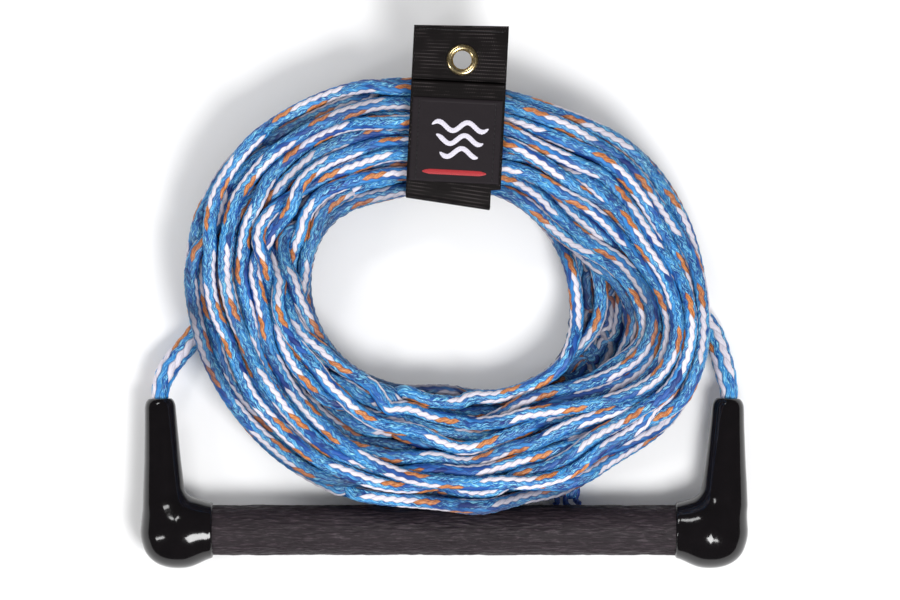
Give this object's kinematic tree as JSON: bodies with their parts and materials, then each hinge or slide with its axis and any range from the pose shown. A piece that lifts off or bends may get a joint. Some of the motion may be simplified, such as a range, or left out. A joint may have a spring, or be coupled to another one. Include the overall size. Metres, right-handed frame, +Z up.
{
  "type": "tow rope handle",
  "caption": "Tow line for water sports: a straight grip between two end caps on a rope bridle, with the coiled mainline held by a webbing keeper that opens and hangs from an eyelet.",
  "frame": {"origin": "centre of the grip's axis, halfway between the two end caps", "axes": "+X along the grip to the right, +Y from the grip across the coil to the keeper, +Z up from the surface it lies on"},
  "size_m": [0.3268, 0.2952, 0.0605],
  "materials": {
    "tube": "satin mill finish",
    "grip": "matte, fine lengthwise wrinkles",
    "cap": "glossy dipped vinyl",
    "foam": "closed-cell foam",
    "rope": "braided multifilament, blue with white and orange marker strands",
    "whipping": "tight black twine",
    "webbing": "woven black webbing",
    "hook": "hook tape",
    "loop": "loop tape",
    "label": "woven satin",
    "thread": "sewing thread",
    "brass": "polished"
  },
  "bodies": {
    "coil": {"mainline_layer_1": "rope", "mainline_layer_2": "rope", "mainline_layer_3": "rope", "mainline_layer_4": "rope", "mainline_layer_5": "rope", "bridle_left": "rope", "bridle_right": "rope", "bridle_whipping": "whipping", "tow_loop": "rope", "splice_tail": "rope", "keeper_strap": "webbing", "loop_pad": "loop"},
    "handle": {"handle_tube": "tube", "grip_sleeve": "grip", "end_cap_left": "cap", "end_cap_right": "cap", "float_plug_left": "foam", "float_plug_right": "foam", "bridle_end_left": "rope", "bridle_end_right": "rope"},
    "flap": {"keeper_flap": "webbing", "hook_pad": "hook", "woven_label": "label", "label_stitching": "thread"},
    "tab": {"hang_tab": "webbing", "tab_stitching": "thread", "grommet_eyelet": "brass", "grommet_washer": "brass"}
  },
  "joints": [
    {"name": "handle_swing", "type": "hinge", "parent": "coil", "child": "handle", "pos_m": [0, 0.082, 0], "axis": [-1, 0, 0], "range_deg": [0, 100]},
    {"name": "flap_open", "type": "hinge", "parent": "coil", "child": "flap", "pos_m": [0.00468, 0.17826, 0.03915], "axis": [0.9987, -0.0506, 0], "range_deg": [0, 150]},
    {"name": "tab_lift", "type": "hinge", "parent": "coil", "child": "tab", "pos_m": [0.00797, 0.24318, 0.0397], "axis": [0.9987, -0.0506, 0], "range_deg": [0, 75]}
  ]
}
